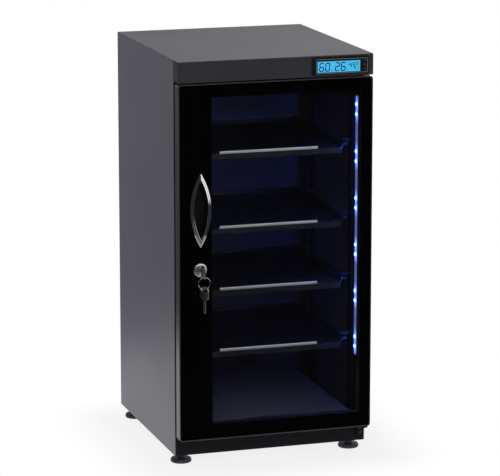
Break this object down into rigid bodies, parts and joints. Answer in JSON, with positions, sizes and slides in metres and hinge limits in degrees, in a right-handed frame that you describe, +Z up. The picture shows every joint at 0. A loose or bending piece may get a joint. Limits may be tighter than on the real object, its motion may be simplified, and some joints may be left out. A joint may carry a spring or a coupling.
{
  "type": "camera dry cabinet",
  "caption": "Upright dry cabinet for cameras, with a glass door, a keyed lock, pull-out shelves, a lamp strip, a humidity display and a drying unit",
  "frame": {"origin": "bottom centre of the whole part's box, on the floor", "axes": "+X to the right seen from the front, +Y to the back, +Z up"},
  "size_m": [0.4, 0.4996, 0.82],
  "materials": {
    "side_paint": "satin grey stoving paint with a fine grain",
    "top_paint": "satin grey stoving paint with a fine grain",
    "dark_paint": "satin black paint",
    "header_paint": "satin charcoal paint",
    "inside_paint": "satin dark grey paint",
    "zinc": "dull zinc plate",
    "shelf_paint": "satin dark grey paint",
    "bright_trim": "bright drawn aluminium",
    "foam": "closed-cell foam with a soft skin",
    "strip_board": "white circuit strip",
    "lamp": "lit blue-white lamp face",
    "bezel": "gloss black",
    "screen": "backlit blue screen with dark digits",
    "board": "green circuit board",
    "button": "matt dark grey",
    "black_plastic": "matt black, moulded",
    "drying_agent": "white paper-like pack",
    "flap": "matt light grey",
    "bracket": "satin black paint",
    "foot": "matt black, moulded",
    "door_frame": "anodised dark grey profile",
    "glass": "clear toughened glass with a gloss black printed border",
    "seal": "soft black rubber",
    "bush": "natural nylon",
    "chrome": "polished chrome plate",
    "cup": "black, moulded",
    "lock_metal": "bright nickel plate",
    "key_metal": "nickel-plated key metal",
    "wire": "bright spring wire"
  },
  "bodies": {
    "cabinet": {"left_side": "side_paint", "right_side": "side_paint", "top_panel": "top_paint", "back_panel": "side_paint", "base_plate": "zinc", "floor_pan": "inside_paint", "header_fascia": "header_paint", "header_floor": "inside_paint", "base_rail": "dark_paint", "jamb_left": "dark_paint", "jamb_right": "dark_paint", "posts_left": "inside_paint", "posts_right": "inside_paint", "runners_left": "inside_paint", "runners_right": "inside_paint", "floor_pad": "foam", "lamp_strip": "strip_board", "lamps": "lamp", "display_bezel": "bezel", "display_screen": "screen", "control_board": "board", "power_inlet": "black_plastic", "dryer_housing": "black_plastic", "dryer_cover": "black_plastic", "heater_plate": "zinc", "drying_pack": "drying_agent", "rear_vent": "black_plastic", "hinge_top": "bracket", "hinge_bottom": "bracket", "case_screws": "bracket"},
    "door": {"door_frame": "door_frame", "door_glass": "glass", "door_seal": "seal", "hinge_bushes": "bush", "handle_rim": "chrome", "handle_cup": "cup", "lock_housing": "lock_metal", "lock_nut": "zinc"},
    "lock": {"lock_plug": "lock_metal", "lock_cam": "zinc"},
    "key": {"key": "key_metal"},
    "key_ring": {"key_ring": "wire"},
    "spare_key": {"spare_key": "key_metal"},
    "shelf_1": {"shelf_1": "shelf_paint", "shelf_trim_1": "bright_trim"},
    "shelf_2": {"shelf_2": "shelf_paint", "shelf_trim_2": "bright_trim"},
    "shelf_3": {"shelf_3": "shelf_paint", "shelf_trim_3": "bright_trim"},
    "shelf_4": {"shelf_4": "shelf_paint", "shelf_trim_4": "bright_trim"},
    "set_button": {"set_button": "button"},
    "up_button": {"up_button": "button"},
    "down_button": {"down_button": "button"},
    "inner_flap": {"inner_flap": "flap"},
    "outer_flap": {"outer_flap": "flap"},
    "foot_front_left": {"foot_front_left": "foot"},
    "foot_front_right": {"foot_front_right": "foot"},
    "foot_rear_left": {"foot_rear_left": "foot"},
    "foot_rear_right": {"foot_rear_right": "foot"}
  },
  "joints": [
    {"name": "door_hinge", "type": "hinge", "parent": "cabinet", "child": "door", "pos_m": [0.19, -0.19623, 0.41], "axis": [0, 0, 1], "range_deg": [0, 170]},
    {"name": "shelf_1_slide", "type": "slide", "parent": "cabinet", "child": "shelf_1", "axis": [0, -1, 0], "range_m": [0, 0.24]},
    {"name": "shelf_2_slide", "type": "slide", "parent": "cabinet", "child": "shelf_2", "axis": [0, -1, 0], "range_m": [0, 0.24]},
    {"name": "shelf_3_slide", "type": "slide", "parent": "cabinet", "child": "shelf_3", "axis": [0, -1, 0], "range_m": [0, 0.24]},
    {"name": "shelf_4_slide", "type": "slide", "parent": "cabinet", "child": "shelf_4", "axis": [0, -1, 0], "range_m": [0, 0.24]},
    {"name": "lock_turn", "type": "hinge", "parent": "door", "child": "lock", "pos_m": [-0.157, -0.20823, 0.407], "axis": [0, 1, 0], "range_deg": [0, 90]},
    {"name": "key_slide", "type": "slide", "parent": "lock", "child": "key", "axis": [0, -1, 0], "range_m": [0, 0.024]},
    {"name": "ring_swing", "type": "hinge", "parent": "key", "child": "key_ring", "pos_m": [-0.157, -0.23723, 0.3987], "axis": [1, 0, 0], "range_deg": [-60, 8]},
    {"name": "spare_swing", "type": "hinge", "parent": "key_ring", "child": "spare_key", "pos_m": [-0.157, -0.23723, 0.3745], "axis": [1, 0, 0], "range_deg": [-30, 8]},
    {"name": "set_button_press", "type": "slide", "parent": "cabinet", "child": "set_button", "axis": [0, 1, 0], "range_m": [0, 0.0012], "stiffness_N_per_m": 300, "springref_m": -0.001},
    {"name": "up_button_press", "type": "slide", "parent": "cabinet", "child": "up_button", "axis": [0, 1, 0], "range_m": [0, 0.0012], "stiffness_N_per_m": 300, "springref_m": -0.001},
    {"name": "down_button_press", "type": "slide", "parent": "cabinet", "child": "down_button", "axis": [0, 1, 0], "range_m": [0, 0.0012], "stiffness_N_per_m": 300, "springref_m": -0.001},
    {"name": "outer_flap_swing", "type": "hinge", "parent": "cabinet", "child": "outer_flap", "pos_m": [0, 0.23827, 0.138], "axis": [-1, 0, 0], "range_deg": [0, 60]},
    {"name": "inner_flap_swing", "type": "hinge", "parent": "cabinet", "child": "inner_flap", "pos_m": [0, 0.18537, 0.138], "axis": [-1, 0, 0], "range_deg": [0, 60]},
    {"name": "foot_front_left_height", "type": "slide", "parent": "cabinet", "child": "foot_front_left", "axis": [0, 0, 1], "range_m": [-0.01, 0]},
    {"name": "foot_front_right_height", "type": "slide", "parent": "cabinet", "child": "foot_front_right", "axis": [0, 0, 1], "range_m": [-0.01, 0]},
    {"name": "foot_rear_left_height", "type": "slide", "parent": "cabinet", "child": "foot_rear_left", "axis": [0, 0, 1], "range_m": [-0.01, 0]},
    {"name": "foot_rear_right_height", "type": "slide", "parent": "cabinet", "child": "foot_rear_right", "axis": [0, 0, 1], "range_m": [-0.01, 0]}
  ],
  "couplings": [
    {"joint": "shelf_1_slide", "follows": "door_hinge", "m_per_rad": 0.08},
    {"joint": "shelf_2_slide", "follows": "door_hinge", "m_per_rad": 0.08},
    {"joint": "shelf_3_slide", "follows": "door_hinge", "m_per_rad": 0.08},
    {"joint": "shelf_4_slide", "follows": "door_hinge", "m_per_rad": 0.08},
    {"joint": "inner_flap_swing", "follows": "outer_flap_swing", "ratio": 1}
  ]
}
